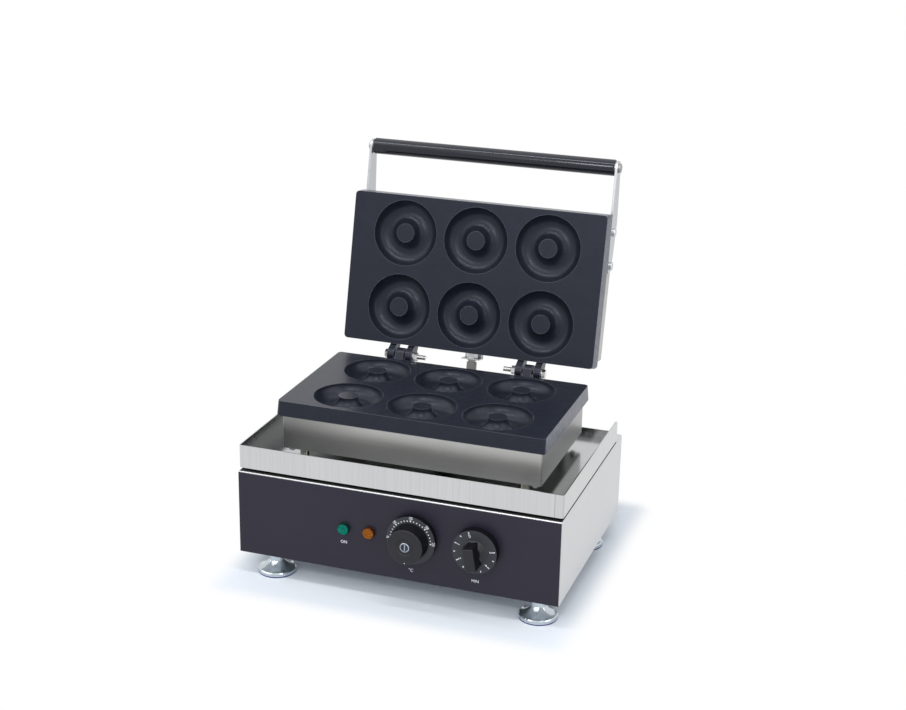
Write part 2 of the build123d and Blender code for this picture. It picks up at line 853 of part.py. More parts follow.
with BuildPart() as hinge_nuts:
    for start, length in across_hinge(bolt_nut_seat - nut_height, bolt_nut_seat):
        add(nuts(side_plane(lid_leaf, start), [(0, 0)], nut_width, length, bolt_radius))
pieces["hinge_nuts"] = hinge_nuts

# ------------------------------------------------------------------- flexible conduit
# It hangs from a bracket on the lid and slides through a bush into the housing.
leg_y = box_back + hose_bracket_rise
with BuildPart() as conduit_bracket:
    with BuildSketch(side_plane(lid_leaf, -hose_bracket_width / 2)):
        leg_low = hose_out - hose_bracket_leg / 2
        leg_high = hose_out + hose_bracket_leg / 2
        with BuildLine():
            Polyline(
                (box_back, leg_high + hose_flange),
                (box_back, leg_high - hose_bracket_sheet),
                (leg_y - hose_bracket_sheet, leg_high - hose_bracket_sheet),
                (leg_y - hose_bracket_sheet, leg_low),
                (leg_y, leg_low),
                (leg_y, leg_high),
                (box_back + hose_bracket_sheet, leg_high),
                (box_back + hose_bracket_sheet, leg_high + hose_flange),
                close=True,
            )
        make_face()
    extrude(amount=hose_bracket_width)
    with BuildSketch(back_plane(lid_leaf, leg_y)):
        with Locations((0, hose_out)):
            Circle(hose_thread_radius)
    extrude(amount=-hose_bracket_sheet, mode=Mode.SUBTRACT)
pieces["conduit_bracket"] = conduit_bracket

with BuildPart() as conduit_lock_nut:
    behind_leg = back_plane(lid_leaf, leg_y - hose_bracket_sheet)
    add(nuts(behind_leg, [(0, hose_out)], hose_nut_width, -hose_nut_height, hose_thread_radius))
pieces["conduit_lock_nut"] = conduit_lock_nut

with BuildPart() as conduit_ferrule:
    with BuildSketch(back_plane(lid_leaf, box_back - box_sheet)):
        with Locations((0, hose_out)):
            Circle(hose_thread_radius)
            Circle(hose_thread_radius - hose_thread_wall, mode=Mode.SUBTRACT)
    extrude(amount=leg_y + hose_thread_below - box_back + box_sheet)
    with BuildSketch(back_plane(lid_leaf, leg_y)):
        with Locations((0, hose_out)):
            Circle(hose_thread_radius + hose_collar)
            Circle(hose_thread_radius - hose_thread_wall, mode=Mode.SUBTRACT)
    extrude(amount=hose_bracket_sheet)
pieces["conduit_ferrule"] = conduit_ferrule

hose_start = lid_leaf.from_local_coords((0, leg_y + hose_thread_below, hose_out))
hose_heading = lid_leaf.y_dir
hose_bend = hose_start + hose_heading * ((hose_y - hose_start.Y) / hose_heading.Y)
hose_route = [
    hose_start,
    hose_bend,
    Vector(0, hose_y, shell_top - hose_bush_depth - hose_straight),
    Vector(0, hose_y - hose_tail_forward, shell_top - hose_tail),
]


def cord_radii(route):
    """Arc at each corner of a cord: a share of its shorter run over the half turn's tangent."""
    radii = []
    for before, corner, after in zip(route, route[1:], route[2:]):
        run_in = corner - before
        run_out = after - corner
        turn = radians(run_in.get_angle(run_out))
        radii.append(cord_share * min(run_in.length, run_out.length) / tan(turn / 2))
    return radii


hose_radii = cord_radii(hose_route)
with BuildPart() as flexible_conduit:
    with BuildLine() as hose_line:
        FilletPolyline(*hose_route, radius=hose_radii)
    hose_wire = hose_line.wires()[0]
    with BuildSketch(Plane(origin=hose_wire @ 0, z_dir=hose_wire % 0)):
        Circle(hose_radius)
    sweep(path=hose_wire)
pieces["flexible_conduit"] = flexible_conduit

with BuildPart() as conduit_bush:
    bush_bore = hose_radius + hose_bush_play
    with BuildSketch(Plane.XY.offset(shell_top)):
        with Locations((0, hose_y)):
            Circle(hose_bush_radius)
            Circle(bush_bore, mode=Mode.SUBTRACT)
    extrude(amount=hose_bush_flange)
    fillet(conduit_bush.edges().group_by(Axis.Z)[-1], hose_bush_edge)
    with BuildSketch(Plane.XY.offset(shell_top - hose_bush_depth)):
        with Locations((0, hose_y)):
            Circle(hose_hole_radius)
            Circle(bush_bore, mode=Mode.SUBTRACT)
    extrude(amount=hose_bush_depth)
pieces["conduit_bush"] = conduit_bush

# --------------------------------------------------------------------------- controls
lamp_places = {"green": (green_lamp_x, lamp_height), "amber": (amber_lamp_x, lamp_height)}
for colour, place in lamp_places.items():
    with BuildPart() as lamp_lens:
        with BuildSketch(front_plane(0)):
            with Locations(place):
                Circle(lamp_radius)
        extrude(amount=lamp_reach)
        fillet(lamp_lens.edges().sort_by(Axis.Y)[0], lamp_dome)
    pieces[colour + "_lamp_lens"] = lamp_lens

with BuildPart() as lamp_holders:
    with BuildSketch(front_plane(0)):
        with Locations(*lamp_places.values()):
            Circle(lamp_body_radius - slip_gap)
    extrude(amount=-lamp_body_length)
    with BuildSketch(front_plane(shell_inner_front)):
        with Locations(*lamp_places.values()):
            RegularPolygon(lamp_nut_width / 2, 6, major_radius=False)
    extrude(amount=-lamp_nut_height)
pieces["lamp_holders"] = lamp_holders

# thermostat and timer behind the front wall, their spindles reaching out through it
# each body has a neck that fills the hole in the front wall
def control_body(place, size, corner, depth):
    """Moulded switch body behind the front wall, bored for its spindle."""
    with BuildPart() as body:
        with BuildSketch(front_plane(shell_inner_front)):
            with Locations(place):
                RectangleRounded(*size, corner)
        extrude(amount=-depth)
        with BuildSketch(front_plane(0)):
            with Locations(place):
                Circle(spindle_hole - slip_gap)
        extrude(amount=-shell_inner_front)
        with BuildSketch(front_plane(0)):
            with Locations(place):
                Circle(spindle_radius + running_gap)
        extrude(amount=-(shell_inner_front + spindle_bore_depth), mode=Mode.SUBTRACT)
    return body


pieces["thermostat_body"] = control_body(
    thermostat_place, thermostat_size, control_corner, thermostat_depth
)
pieces["timer_body"] = control_body(timer_place, timer_size, control_corner, timer_depth)

for label, place in (("thermostat", thermostat_place), ("timer", timer_place)):
    with BuildPart() as spindle:
        spindle_foot = shell_inner_front + spindle_bore_depth - spindle_end_gap
        with BuildSketch(front_plane(spindle_foot)):
            with Locations(place):
                Circle(spindle_radius)
        extrude(amount=spindle_foot + spindle_reach)
    pieces[label + "_spindle"] = spindle


def turned(profile, place):
    """Solid turned about a control's axis; its points are (radius, reach from the panel)."""
    centre = (place[0], 0, shell_bottom + place[1])
    with BuildPart() as body:
        with BuildSketch(Plane(origin=centre, x_dir=(1, 0, 0), z_dir=(0, 0, 1))):
            with BuildLine():
                Polyline(*[(radius, -reach) for radius, reach in profile], close=True)
            make_face()
        revolve(axis=Axis(centre, (0, 1, 0)))
    return body.part


bore_reach = spindle_reach + spindle_end_gap
with BuildPart() as temperature_knob:
    dial_outline = [
        (0, knob_gap),
        (dial_skirt_radius, knob_gap),
        (dial_rim_radius, dial_rim_reach),
        (dial_neck_radius, dial_neck_reach),
        (dial_top_radius, dial_reach),
        (dial_dish_radius, dial_reach),
        (dial_dish_radius - dial_dish_depth, dial_reach - dial_dish_depth),
        (dial_cap_radius, dial_reach - dial_dish_depth),
        (dial_cap_radius, dial_reach - dial_cap_depth),
        (0, dial_reach - dial_cap_depth),
    ]
    add(turned(dial_outline, thermostat_place))
    front_edges = temperature_knob.edges().group_by(Axis.Y)[0]
    fillet(front_edges.sort_by(SortBy.RADIUS)[-1], knob_edge)
    with BuildSketch(front_plane(0)):
        with Locations(thermostat_place):
            Circle(spindle_radius)
    extrude(amount=bore_reach, mode=Mode.SUBTRACT)
pieces["temperature_knob"] = temperature_knob

with BuildPart() as temperature_knob_cap:
    with BuildSketch(front_plane(dial_cap_depth - dial_reach)):
        with Locations(thermostat_place):
            Circle(dial_cap_radius)
    extrude(amount=dial_cap_depth + dial_cap_proud)
    cap_front = temperature_knob_cap.faces().sort_by(Axis.Y)[0]
    chamfer(cap_front.edges(), dial_cap_proud / 2)
    with BuildSketch(Plane(cap_front).offset(-dial_slot_depth)):
        SlotOverall(*dial_slot, rotation=90)
    extrude(amount=2 * dial_slot_depth, mode=Mode.SUBTRACT)
pieces["temperature_knob_cap"] = temperature_knob_cap

with BuildPart() as timer_knob:
    timer_outline = [
        (0, knob_gap),
        (timer_skirt_radius, knob_gap),
        (timer_face_radius, timer_face_reach),
        (timer_hub_radius, timer_face_reach),
        (timer_hub_top_radius, timer_hub_reach),
        (0, timer_hub_reach),
    ]
    add(turned(timer_outline, timer_place))
    # the grip is a bar across the hub that points down
    bar_place = Location((timer_x, timer_height), timer_bar_turn) * Location((0, -timer_bar_drop))
    with BuildSketch(front_plane(-timer_face_reach)):
        with Locations(bar_place):
            RectangleRounded(timer_bar_foot_width, timer_bar_foot_length, timer_bar_corner)
    with BuildSketch(front_plane(-timer_reach)):
        with Locations(bar_place):
            RectangleRounded(timer_bar_width, timer_bar_length, timer_bar_corner)
    loft()
    fillet(timer_knob.edges().group_by(Axis.Y)[0], knob_edge)
    with BuildSketch(front_plane(0)):
        with Locations(timer_place):
            Circle(spindle_radius)
    extrude(amount=bore_reach, mode=Mode.SUBTRACT)
pieces["timer_knob"] = timer_knob

# ------------------------------------------------- terminal block, probe, cable gland
with BuildPart() as terminal_block:
    with BuildSketch(Plane.XY.offset(base_plate_top)):
        with Locations(terminal_place):
            Rectangle(*terminal_size)
    extrude(amount=terminal_body_height)
    with BuildSketch(Plane.XY.offset(base_plate_top + terminal_body_height)):
        with Locations(terminal_place):
            with GridLocations(terminal_pitch, 0, terminal_count, 1):
                Rectangle(terminal_post, terminal_size[1])
    extrude(amount=terminal_post_height)
pieces["terminal_block"] = terminal_block

# sensing bulb under the lower plate, its capillary led down the duct to the thermostat
probe_y = plate_y + probe_setback
probe_z = level(lower_leaf, DOWN, plate_thickness + seat_gap + probe_radius).origin.Z
capillary_route = [
    Vector(probe_x, probe_y, probe_z),
    Vector(0, probe_y, probe_z),
    Vector(0, duct_y, probe_z),
    Vector(0, duct_y, duct_bottom - capillary_drop),
    Vector(thermostat_x, duct_y - capillary_drop, shell_bottom + thermostat_height),
    Vector(thermostat_x, shell_inner_front + thermostat_depth, shell_bottom + thermostat_height),
]
with BuildPart() as thermostat_probe:
    with BuildLine() as capillary_line:
        FilletPolyline(*capillary_route, radius=capillary_bend)
    capillary = capillary_line.wires()[0]
    with BuildSketch(Plane(origin=capillary @ 0, z_dir=capillary % 0)):
        Circle(capillary_radius)
    sweep(path=capillary)
    with BuildSketch(Plane(origin=(probe_x, probe_y, probe_z), x_dir=(0, 1, 0), z_dir=(1, 0, 0))):
        Circle(probe_radius)
    extrude(amount=probe_length)
pieces["thermostat_probe"] = thermostat_probe

# gland in the back wall for the power cable
with BuildPart() as cable_gland:
    with BuildSketch(back_face):
        with Locations(gland_place):
            RegularPolygon(gland_nut_width / 2, 6, major_radius=False)
    extrude(amount=gland_nut_height)
    with BuildSketch(back_face.offset(gland_nut_height)):
        with Locations(gland_place):
            Circle(gland_radius)
    with BuildSketch(back_face.offset(gland_length)):
        with Locations(gland_place):
            Circle(gland_tip_radius)
    loft()
    with BuildSketch(back_face):
        with Locations(gland_place):
            Circle(gland_thread_radius - slip_gap)
    extrude(amount=-gland_inside)
    with BuildSketch(back_face.offset(-gland_inside)):
        with Locations(gland_place):
            Circle(gland_bore)
    extrude(amount=gland_length + gland_inside, mode=Mode.SUBTRACT)
pieces["cable_gland"] = cable_gland

# ------------------------------------------------------------------------------- feet
# Bell-shaped feet on threaded studs, each in a socket on the base plate.
with BuildPart() as foot_sockets:
    with BuildSketch(Plane.XY.offset(base_plate_top)):
        with Locations(*foot_places.values()):
            Circle(foot_socket_radius)
            Circle(foot_stud_radius + running_gap, mode=Mode.SUBTRACT)
    extrude(amount=foot_socket_height)
pieces["foot_sockets"] = foot_sockets

for corner, (x, y) in foot_places.items():
    with BuildPart() as foot:
        bell_top = foot_pad_height + foot_rim
        neck_top = shell_bottom - foot_seat_gap
        stud_top = neck_top + foot_stud_reach
        shoulder = (foot_bell_radius - foot_edge, bell_top)
        with BuildSketch(Plane(origin=(x, y, 0), x_dir=(1, 0, 0), z_dir=(0, -1, 0))):
            with BuildLine():
                Polyline(
                    (foot_neck_radius, foot_neck_start),
                    (foot_neck_radius, neck_top),
                    (foot_stud_radius, neck_top),
                    (foot_stud_radius, stud_top),
                    (0, stud_top),
                    (0, foot_pad_height),
                    (foot_bell_radius, foot_pad_height),
                    (foot_bell_radius, bell_top - foot_edge),
                    shoulder,
                )
                RadiusArc(shoulder, (foot_neck_radius, foot_neck_start), foot_slope_radius)
            make_face()
        revolve(axis=Axis((x, y, 0), (0, 0, 1)))
    pieces[corner + "_foot"] = foot
    with BuildPart() as foot_pad:
        with BuildSketch(Plane.XY):
            with Locations((x, y)):
                Circle(foot_pad_radius)
        extrude(amount=foot_pad_height)
    pieces[corner + "_foot_pad"] = foot_pad

# ----------------------------------------------------------------------------- export
# The finished appliance is centred over the origin before it is written.
boxes = [piece.part.bounding_box() for piece in pieces.values()]
front_end = min(box.min.Y for box in boxes)
back_end = max(box.max.Y for box in boxes)
centre_y = (front_end + back_end) / 2
centring = Location((0, -centre_y, 0))
os.makedirs("parts", exist_ok=True)
for name, piece in pieces.items():
    finished = piece.part.moved(centring)
    finished.label = name
    export_step(finished, f"parts/{name}.step")
    if not finished.is_valid:
        print("not valid:", name)
print("pieces", len(pieces), "depth", back_end - front_end, "centre", centre_y)
print("height", max(box.max.Z for box in boxes), "foot", min(box.min.Z for box in boxes))
print("hinge axis at y", hinge_y - centre_y, "z", hinge_z)
print("conduit radii", [round(radius) for radius in hose_radii])
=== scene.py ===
import bpy, bmesh, math
from mathutils import Matrix, Vector


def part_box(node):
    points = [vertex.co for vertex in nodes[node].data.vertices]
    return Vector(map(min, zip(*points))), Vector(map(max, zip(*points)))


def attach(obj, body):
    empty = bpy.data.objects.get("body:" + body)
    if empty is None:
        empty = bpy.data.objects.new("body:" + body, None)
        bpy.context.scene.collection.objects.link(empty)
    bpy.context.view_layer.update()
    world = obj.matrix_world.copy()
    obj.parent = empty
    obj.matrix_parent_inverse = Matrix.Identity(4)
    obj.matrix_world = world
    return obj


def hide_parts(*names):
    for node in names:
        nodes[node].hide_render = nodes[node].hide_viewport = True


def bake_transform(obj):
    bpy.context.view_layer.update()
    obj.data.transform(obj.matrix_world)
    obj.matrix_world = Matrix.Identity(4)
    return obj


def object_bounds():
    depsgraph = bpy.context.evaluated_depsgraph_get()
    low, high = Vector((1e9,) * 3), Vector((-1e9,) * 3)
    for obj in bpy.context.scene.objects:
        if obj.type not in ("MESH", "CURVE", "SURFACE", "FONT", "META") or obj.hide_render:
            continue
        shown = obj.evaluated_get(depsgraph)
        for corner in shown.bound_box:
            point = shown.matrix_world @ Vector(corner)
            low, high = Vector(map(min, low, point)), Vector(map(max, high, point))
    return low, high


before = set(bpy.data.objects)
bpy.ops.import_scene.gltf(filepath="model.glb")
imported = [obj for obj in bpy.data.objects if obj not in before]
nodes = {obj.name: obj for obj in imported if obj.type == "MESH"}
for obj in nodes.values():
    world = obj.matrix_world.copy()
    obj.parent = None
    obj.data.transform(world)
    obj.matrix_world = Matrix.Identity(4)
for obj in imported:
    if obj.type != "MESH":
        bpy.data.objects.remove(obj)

cad_low, cad_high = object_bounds()


def add_to_scene(name, data):
    """A new object that holds a mesh, a curve, a lamp or a camera."""
    made = bpy.data.objects.new(name, data)
    bpy.context.collection.objects.link(made)
    return made


# ---- The viewpoint -------------------------------------------------------------------
# A long lens at chest height, standing to the right of the machine and looking down
# at it, so that the tray, both plates and the right wall are seen together.
camera_data = bpy.data.cameras.new("viewpoint")
camera_data.sensor_width = 36.0
camera_data.lens = 66.33
camera = add_to_scene("viewpoint", camera_data)
swing, dip, tilt = 0.32884, 0.33920, 0.01859        # radians
camera.matrix_world = (
    Matrix.Translation((0.64463, -1.84953, 0.95228))
    @ Matrix.Rotation(swing, 4, "Z")
    @ Matrix.Rotation(math.pi / 2 - dip, 4, "X")
    @ Matrix.Rotation(tilt, 4, "Z")
)
bpy.context.scene.camera = camera
bpy.context.scene.view_settings.view_transform = "Standard"


# ---- Finishes, written as sums --------------------------------------------------------
# A finish is written as sums of noises, masks and places on the piece. Each sum adds
# its Math nodes to the material, so the wiring itself is never written out.
class Signal:
    """One value on its way through a finish. Arithmetic on it adds the Math nodes."""

    def __init__(self, wiring, socket):
        self.wiring, self.socket = wiring, socket

    def _math(self, operation, *terms):
        return self.wiring.node("ShaderNodeMath", {"operation": operation}, dict(enumerate(terms)))

    def __add__(self, other):
        return self._math("ADD", self, other)

    def __sub__(self, other):
        return self._math("SUBTRACT", self, other)

    def __rsub__(self, other):
        return self._math("SUBTRACT", other, self)

    def __mul__(self, other):
        return self._math("MULTIPLY", self, other)

    def above(self, edge):
        return self._math("GREATER_THAN", self, edge)

    def at_most(self, limit):
        return self._math("MINIMUM", self, limit)

    def size(self):
        return self._math("ABSOLUTE", self)

    __radd__ = __add__
    __rmul__ = __mul__


class Wiring:
    """A node tree with one way to add every node."""

    def __init__(self, tree):
        self.tree = tree

    def feed(self, socket, value):
        if isinstance(value, Signal):
            self.tree.links.new(value.socket, socket)
        else:
            socket.default_value = value

    def node(self, kind, settings, values, output=0):
        made = self.tree.nodes.new(kind)
        for key, value in settings.items():
            setattr(made, key, value)
        for key, value in values.items():
            self.feed(made.inputs[key], value)
        return Signal(self, made.outputs[output])

    def vector(self, operation, *terms, output=0):
        """Vector Math. The output is "Value" where the operation gives a single number."""
        values = dict(enumerate(terms))
        return self.node("ShaderNodeVectorMath", {"operation": operation}, values, output)

    def looked_at(self):
        """1 where the eye meets a surface straight on, in polished metal or through glass."""
        rays = [self.node("ShaderNodeLightPath", {}, {}, f"Is {kind} Ray")
                for kind in ("Camera", "Glossy", "Transmission")]
        return (rays[0] + rays[1] + rays[2]).at_most(1.0)


class Finish(Wiring):
    """A surface finish: one material and its shader. Plain values name shader sockets."""

    def __init__(self, name, **plain):
        self.material = bpy.data.materials.new(name)
        self.material.use_nodes = True
        super().__init__(self.material.node_tree)
        self.shader = self.tree.nodes["Principled BSDF"]
        for label, value in plain.items():
            self.set(label.replace("_", " "), value)

    def set(self, label, value):
        self.feed(self.shader.inputs[label], value)

    def place(self, scale=(1, 1, 1)):
        """Where a point lies on the piece, in metres, stretched by scale."""
        here = self.node("ShaderNodeTexCoord", {}, {}, "Object")
        return self.node("ShaderNodeMapping", {}, {"Vector": here, "Scale": scale})

    def along(self, axis):
        """How far a point lies along an axis of the machine, in metres."""
        return self.node("ShaderNodeSeparateXYZ", {}, {0: self.place()}, axis)

    def faces(self, axis, edge=0.7):
        """1 where the surface looks along an axis, to a cosine past edge, and 0 elsewhere."""
        normal = self.node("ShaderNodeTexCoord", {}, {}, "Normal")
        return self.node("ShaderNodeSeparateXYZ", {}, {0: normal}, axis).size().above(edge)

    def noise(self, where, scale, detail=3.0, roughness=0.5):
        values = {"Vector": where, "Scale": scale, "Detail": detail, "Roughness": roughness}
        return self.node("ShaderNodeTexNoise", {}, values)

    def bands(self, where, scale, profile):
        """Even bands across the first axis, as a thread or the ribs of a hose make."""
        settings = {"wave_type": "BANDS", "bands_direction": "X", "wave_profile": profile}
        return self.node("ShaderNodeTexWave", settings, {"Vector": where, "Scale": scale})

    def fade(self, value, start, end, at_start, at_end):
        """A soft change from one number at start to another at end."""
        ends = {"From Min": start, "From Max": end, "To Min": at_start, "To Max": at_end}
        settings = {"interpolation_type": "SMOOTHSTEP"}
        return self.node("ShaderNodeMapRange", settings, {"Value": value, **ends})

    def blend(self, share, first, second):
        """Two colours, mixed by a share from 0 to 1."""
        values = {0: share, 6: (*first, 1) if isinstance(first, tuple) else first,
                  7: (*second, 1) if isinstance(second, tuple) else second}
        return self.node("ShaderNodeMix", {"data_type": "RGBA"}, values, 2)

    def relief(self, height, strength, depth):
        values = {"Height": height, "Strength": strength, "Distance": depth}
        self.set("Normal", self.node("ShaderNodeBump", {}, values))

    def cover(self, share, other):
        """Lays another shader over this one, by a share from 0 to 1."""
        own = Signal(self, self.shader.outputs["BSDF"])
        mixed = self.node("ShaderNodeMixShader", {}, {0: share, 1: own, 2: other})
        self.feed(self.tree.nodes["Material Output"].inputs["Surface"], mixed)


def dress(material, *names):
    for name in names:
        for material_slot in nodes[name].material_slots:
            material_slot.material = material


# ---- The brushed sheet ---------------------------------------------------------------
# Stainless steel sheet, cut, folded and spot welded. The mill brushes it in one
# direction, which leaves fine streaks along the sheet and a soft, broken shine.
streak_swing, cloud_swing = 0.14, 0.08      # how far each one changes the roughness
gap_shade_roughness = 0.3
seam_half_width = 0.00025
front_shade_strength = 0.55


def brushed_sheet(name, tone, wall_grain=(700, 700, 5), floor_grain=(5, 700, 700), shine=0.3,
                  depth=0.20, scratch=0.12, painted_gap_shade=None, seam=None, ends=1.0,
                  painted_level_brightness=1.0, film=None):
    """Brushed stainless: streaks run one way on the walls and another on the level faces.

    shine is the middling roughness, depth is how far the streaks change the tone, and
    scratch is how strongly they stand out. painted_gap_shade is a lowest and a highest height
    and a place at the back. The level faces between those heights, as far as that place,
    are painted dark and made dull, as painted shade, because the tray hides them. seam is where,
    across the front, one wall's end laps the next. ends and painted_level_brightness are how
    bright the end walls and the level faces are painted beside the others, as painted shade.
    film is a pair of places across the front, between which a painted shade on the front and
    back walls fades out.
    """
    steel = Finish(name, Metallic=1.0)
    level = steel.faces("Z")
    on_wall = steel.noise(steel.place(wall_grain), 1.0, 5.0, 0.65)
    on_floor = steel.noise(steel.place(floor_grain), 1.0, 5.0, 0.65)
    streak = on_wall * (1 - level) + on_floor * level
    cloud = steel.noise(steel.place(), 14.0, 2.0)
    dark = tuple((1 - depth) * part for part in tone)
    bright = tuple(min(1.0, (1 + 0.6 * depth) * part) for part in tone)
    colour = steel.blend(streak * 0.8 + cloud * 0.2, dark, bright)
    middle = (streak_swing + cloud_swing) / 2
    rough = streak * streak_swing + cloud * cloud_swing + (shine - middle)
    # The level faces in the gap under the tray are painted dark, as painted shade, and made dull.
    if painted_gap_shade:
        bottom, top, back = painted_gap_shade
        height = steel.along("Z")
        gap_shade = level * height.above(bottom) * (1 - height.above(top))
        gap_shade = gap_shade * (1 - steel.along("Y").above(back))
        colour = steel.blend(gap_shade, colour, (0.05, 0.05, 0.05))
        rough = rough + gap_shade * gap_shade_roughness
    # Between the film places the walls facing front and back are darkened as painted shade.
    if film:
        front_shade = steel.fade(steel.along("X"), *film, front_shade_strength, 0.0)
        colour = steel.blend(front_shade * steel.faces("Y"), colour, (0.03, 0.03, 0.03))
    # The end walls and the level faces are darkened here as painted shade.
    if min(ends, painted_level_brightness) < 1:
        painted_face_shade = steel.faces("X") * (1 - ends) + level * (1 - painted_level_brightness)
        colour = steel.blend(painted_face_shade, colour, (0.0, 0.0, 0.0))
    if seam:
        lap = 1 - (steel.along("X") - seam).size().above(seam_half_width)
        colour = steel.blend(lap * steel.faces("Y") * streak * 1.3, colour, (0.09, 0.09, 0.09))
    steel.set("Base Color", colour)
    steel.set("Roughness", rough)
    steel.relief(streak, scratch, 0.00004)
    return steel.material


tray_low, tray_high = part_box("drip_tray")
housing_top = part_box("housing_shell")[1][2]
level_margin = 0.0005
# The housing's top under the tray is painted dark as painted shade.
housing_steel = brushed_sheet(
    "brushed_steel_housing", (0.635, 0.645, 0.66), shine=0.34,
    painted_gap_shade=(housing_top - 2 * level_margin, cad_high[2], tray_high[1])
)
dress(housing_steel, "housing_shell", "base_plate", "foot_sockets", "tray_spacers")


# ---- The drip tray ------------------------------------------------------------------
# One folded sheet of stainless with a high rim at the front and sides and a low one
# at the back. It stands on spacers, and catches the batter that runs off the plates.
lap_inset = 0.0105
# The tray's underside is painted dark, and its end walls and level faces darker, all as painted
# shade.
tray_steel = brushed_sheet(
    "brushed_steel_tray", (0.630, 0.640, 0.648), shine=0.17,
    painted_gap_shade=(0, tray_low[2] + level_margin, tray_high[1]), seam=tray_high[0] - lap_inset,
    ends=0.86, painted_level_brightness=0.84
)
dress(tray_steel, "drip_tray", "wire_duct")


# ---- The heater boxes ---------------------------------------------------------------
# Shallow folded boxes that hold each plate's element and insulation. Their sheet is
# brushed along its length. The lower one stands on four short posts. The lid's is
# duller, so that its wide top doesn't mirror the lamps as plain white.
lengthwise = (4, 4, 1300)
post_steel = brushed_sheet("dull_turned_posts", (0.30, 0.29, 0.25), wall_grain=(5, 5, 900))
dress(post_steel, "box_standoffs")
# The lower box's end walls and the left of its front are darkened as painted shade.
box_steel = brushed_sheet(
    "brushed_steel_boxes", (0.56, 0.56, 0.55), wall_grain=lengthwise, shine=0.36,
    scratch=0.04, ends=0.72, film=(-0.17, -0.03)
)
dress(box_steel, "lower_heater_box")
lid_box_steel = brushed_sheet(
    "brushed_steel_lid_box", (0.56, 0.56, 0.55), wall_grain=lengthwise, shine=0.74, scratch=0.04
)
dress(lid_box_steel, "upper_heater_box")
arm_steel = brushed_sheet("brushed_steel_arms", (0.50, 0.51, 0.535), shine=0.28)
dress(arm_steel, "left_handle_arm", "right_handle_arm", "conduit_bracket")


# ---- The mould plates ---------------------------------------------------------------
# Two sand-cast aluminium plates, each with six ring moulds, and with the hinge lugs
# cast on. A dark non-stick coat is sprayed on. Along the edges its colour is lightened
# as a painted highlight, and on the right ends in blotches as a painted reflection.
coat = Finish(
    "non_stick_coat", IOR=1.45, Specular_IOR_Level=0.35, Specular_Tint=(0.83, 0.87, 1.0, 1),
    Sheen_Weight=0.17, Sheen_Tint=(0.80, 0.84, 1.0, 1), Sheen_Roughness=0.28
)
edge_radius, edge_gain = 0.0009, 9.0
# The light tone of the painted highlight along the edges.
edge_highlight_tone = (0.19, 0.20, 0.23)
end_depth = 0.0015
right_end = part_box("lower_plate")[1][0] - end_depth
orange_peel = coat.noise(coat.place(), 1500.0, 2.0)
speckle = coat.noise(coat.place(), 2600.0, 1.0)
patches = coat.noise(coat.place(), 45.0, 3.0)
end_reflection_blotches = coat.noise(coat.place(), 110.0, 5.0, 0.7)
# Where the rounded normal leaves the true one, an edge is near, and there the colour is lightened
# as a painted highlight.
rounded = coat.node("ShaderNodeBevel", {"samples": 6}, {"Radius": edge_radius})
true_normal = coat.node("ShaderNodeNewGeometry", {}, {}, "True Normal")
agreement = coat.vector("DOT_PRODUCT", rounded, true_normal, output="Value")
edge_painted_highlight = ((1 - agreement) * edge_gain).at_most(1.0)
deep = coat.blend(patches * 0.6 + speckle * 0.4, (0.007, 0.009, 0.015), (0.014, 0.017, 0.027))
# Past the right end the plates are lightened in blotches, as a painted reflection of the bright
# surroundings.
past_end = coat.along("X").above(right_end)
deep_with_end_reflection = coat.blend(past_end * end_reflection_blotches * 0.85, deep, (0.19, 0.20, 0.235))
coat.set("Base Color", coat.blend(edge_painted_highlight * speckle * 1.1, deep_with_end_reflection, edge_highlight_tone))
coat.set("Roughness", speckle * 0.18 + patches * 0.06 + 0.15)
coat.relief(orange_peel * 0.6 + speckle * 0.4, 0.6, 0.00013)
dress(coat.material, "lower_plate", "upper_plate")


# ---- The control panel --------------------------------------------------------------
# A smooth dark sheet on the front of the housing, under a narrow bright fold of the
# shell. The lamps and the two controls come through it.
panel = Finish("panel_black", IOR=1.5, Specular_IOR_Level=0.28)
film = panel.noise(panel.place(), 9.0, 3.0)
dust = panel.noise(panel.place(), 900.0, 2.0)
panel.set("Base Color", panel.blend(film, (0.015, 0.013, 0.024), (0.023, 0.020, 0.034)))
panel.set("Roughness", film * 0.10 + dust * 0.06 + 0.30)
panel.relief(dust, 0.05, 0.00003)
dress(panel.material, "control_panel")


# ---- The lamps ----------------------------------------------------------------------
# Two clear moulded lenses pushed through the panel, green for power and amber for
# heat. The light that cut facets inside the lens catch is painted into its colour as painted
# glints, and its edge is painted darker as painted shade.
def lens(name, dark, bright):
    cap = Finish(name, Roughness=0.12, IOR=1.49, Specular_IOR_Level=0.09)
    facets = {"Vector": cap.place(), "Scale": 620.0}
    cut = cap.node("ShaderNodeTexVoronoi", {"feature": "F1"}, facets, "Distance")
    depth = cap.noise(cap.place(), 160.0, 2.0)
    # The facets' light is painted into the lens's colour as painted glints.
    painted_facet_glints = cap.blend(cut * 0.9 + depth * 0.3, dark, bright)
    # The lens's edge is painted darker as painted shade.
    edge = 1 - cap.faces("Y", 0.9)
    shaded = tuple(0.5 * part for part in dark)
    cap.set("Base Color", cap.blend(edge * 0.85, painted_facet_glints, shaded))
    cap.relief(cut, 0.5, 0.0006)
    return cap.material


dress(lens("green_lens", (0.0, 0.020, 0.015), (0.0, 0.215, 0.150)), "green_lamp_lens")
dress(lens("amber_lens", (0.050, 0.013, 0.002), (0.37, 0.115, 0.010)), "amber_lamp_lens")


